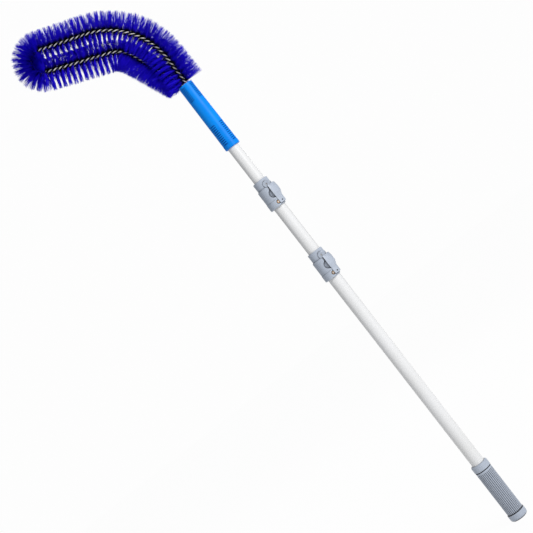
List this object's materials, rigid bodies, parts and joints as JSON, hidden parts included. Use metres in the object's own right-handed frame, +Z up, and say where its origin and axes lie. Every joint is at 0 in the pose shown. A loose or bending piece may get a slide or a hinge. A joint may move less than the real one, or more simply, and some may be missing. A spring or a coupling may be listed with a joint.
{
  "type": "cobweb brush",
  "caption": "Telescopic pole brush: round tubes slide and lock with lever clamps, and a bent twisted-wire bristle head reaches over ledges to sweep cobwebs.",
  "frame": {"origin": "centre of the flat face of the rounded end cap, at the grip end of the pole", "axes": "+Z up along the pole towards the brush, -X the way the brush head bends over, -Y the viewed front"},
  "size_m": [0.2708, 0.0782, 1.2182],
  "materials": {
    "white_tube": "smooth gloss coating",
    "grey_plastic": "fine satin moulding",
    "bush_plastic": "plain moulding",
    "blue_plastic": "satin gloss moulding",
    "steel_pin": "plain turned",
    "brass_nut": "dull turned",
    "steel_wire": "galvanised",
    "bristle": "loose plastic bristles"
  },
  "bodies": {
    "handle": {"end_cap": "grey_plastic", "hand_grip": "grey_plastic", "outer_tube": "white_tube", "lower_clamp_body": "grey_plastic", "lower_clamp_pin": "steel_pin", "lower_clamp_screw": "steel_pin", "lower_clamp_nut": "brass_nut"},
    "lower_lever": {"lower_clamp_lever": "grey_plastic"},
    "lower_pad": {"lower_clamp_pad": "bush_plastic"},
    "middle_foot": {"middle_foot_bush": "bush_plastic"},
    "middle": {"middle_tube": "white_tube", "upper_clamp_body": "grey_plastic", "upper_clamp_pin": "steel_pin", "upper_clamp_screw": "steel_pin", "upper_clamp_nut": "brass_nut"},
    "upper_lever": {"upper_clamp_lever": "grey_plastic"},
    "upper_pad": {"upper_clamp_pad": "bush_plastic"},
    "top_foot": {"top_foot_bush": "bush_plastic"},
    "head": {"top_tube": "white_tube", "brush_socket": "blue_plastic", "stem_plug": "bush_plastic", "stem_wire": "steel_wire", "riser_bristles": "bristle", "arm_bristles": "bristle", "loop_bristles": "bristle", "under_arm_bristles": "bristle", "root_bristles": "bristle"}
  },
  "joints": [
    {"name": "lower_lever_swing", "type": "hinge", "parent": "handle", "child": "lower_lever", "pos_m": [0.00792, -0.00111, 0.5862], "axis": [-0.1392, -0.9903, 0], "range_deg": [0, 60]},
    {"name": "lower_pad_press", "type": "slide", "parent": "handle", "child": "lower_pad", "axis": [0.9903, -0.1392, 0], "range_m": [0, 0.0005]},
    {"name": "middle_slide", "type": "slide", "parent": "handle", "child": "middle_foot", "axis": [0, 0, 1], "range_m": [-0.099, 0.3]},
    {"name": "middle_turn", "type": "hinge", "parent": "middle_foot", "child": "middle", "pos_m": [0, 0, 0.1325], "axis": [0, 0, 1], "continuous": true},
    {"name": "upper_lever_swing", "type": "hinge", "parent": "middle", "child": "upper_lever", "pos_m": [0.00792, -0.00111, 0.7447], "axis": [-0.1392, -0.9903, 0], "range_deg": [0, 60]},
    {"name": "upper_pad_press", "type": "slide", "parent": "middle", "child": "upper_pad", "axis": [0.9903, -0.1392, 0], "range_m": [0, 0.0005]},
    {"name": "top_slide", "type": "slide", "parent": "middle", "child": "top_foot", "axis": [0, 0, 1], "range_m": [-0.073, 0.35]},
    {"name": "top_turn", "type": "hinge", "parent": "top_foot", "child": "head", "pos_m": [0, 0, 0.238], "axis": [0, 0, 1], "continuous": true}
  ],
  "couplings": [
    {"joint": "lower_pad_press", "follows": "lower_lever_swing", "m_per_rad": 0.00045837},
    {"joint": "upper_pad_press", "follows": "upper_lever_swing", "m_per_rad": 0.00045837}
  ]
}
